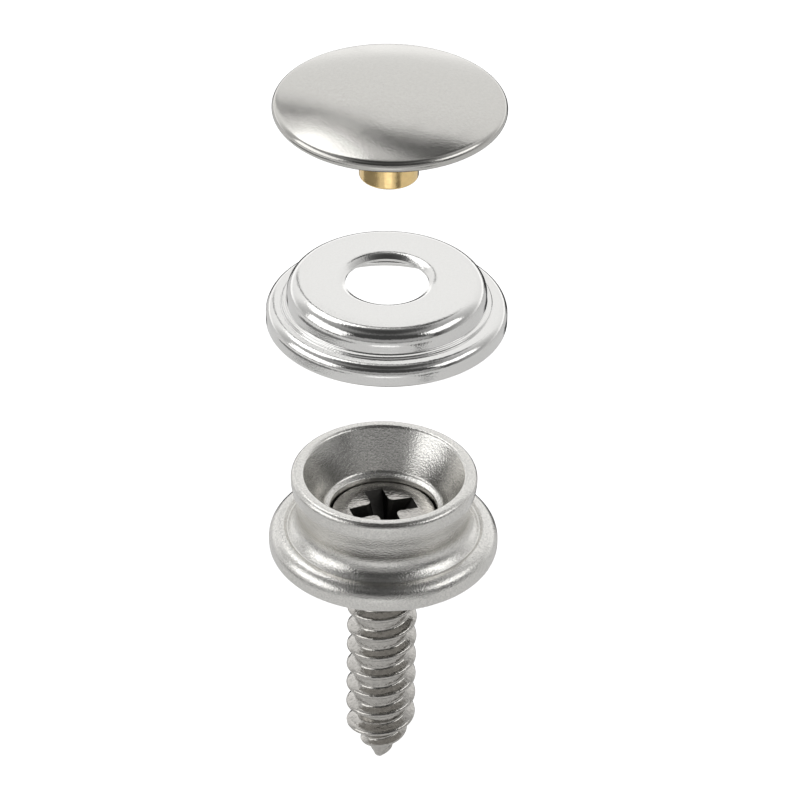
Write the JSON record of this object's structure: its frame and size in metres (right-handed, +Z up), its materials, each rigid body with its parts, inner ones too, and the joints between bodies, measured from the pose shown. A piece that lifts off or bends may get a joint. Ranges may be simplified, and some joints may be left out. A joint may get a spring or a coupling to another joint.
{
  "type": "snap fastener",
  "caption": "Metal snap fastener for covers: a domed cap with a brass eyelet, a sprung socket and a stud held by its own wood screw.",
  "frame": {"origin": "centre of the stud's underside, where it meets the deck", "axes": "+Z up along the fastener's axis, from the deck to the cap; the screw points along -Z"},
  "size_m": [0.0156, 0.0156, 0.0534],
  "materials": {
    "satin_steel": "satin",
    "screw_steel": "satin",
    "spring_steel": "drawn",
    "polished_steel": "polished",
    "brass": "polished"
  },
  "bodies": {
    "stud": {"stud_shell": "satin_steel"},
    "screw": {"screw": "screw_steel"},
    "spring": {"socket_spring": "spring_steel"},
    "socket": {"socket_shell": "polished_steel", "socket_retainer": "polished_steel"},
    "cap": {"cap_shell": "polished_steel", "cap_post": "brass"}
  },
  "joints": [
    {"name": "screw_turn", "type": "hinge", "parent": "stud", "child": "screw", "pos_m": [0, 0, 0], "axis": [0, 0, 1], "continuous": true},
    {"name": "snap_slide", "type": "slide", "parent": "stud", "child": "spring", "axis": [0, 0, 1], "range_m": [-0.01493, 0], "deforming": ["socket_spring"]},
    {"name": "socket_swivel", "type": "hinge", "parent": "spring", "child": "socket", "pos_m": [0, 0, 0.018], "axis": [0, 0, 1], "continuous": true},
    {"name": "cap_slide", "type": "slide", "parent": "socket", "child": "cap", "axis": [0, 0, 1], "range_m": [-0.011, 0]}
  ]
}
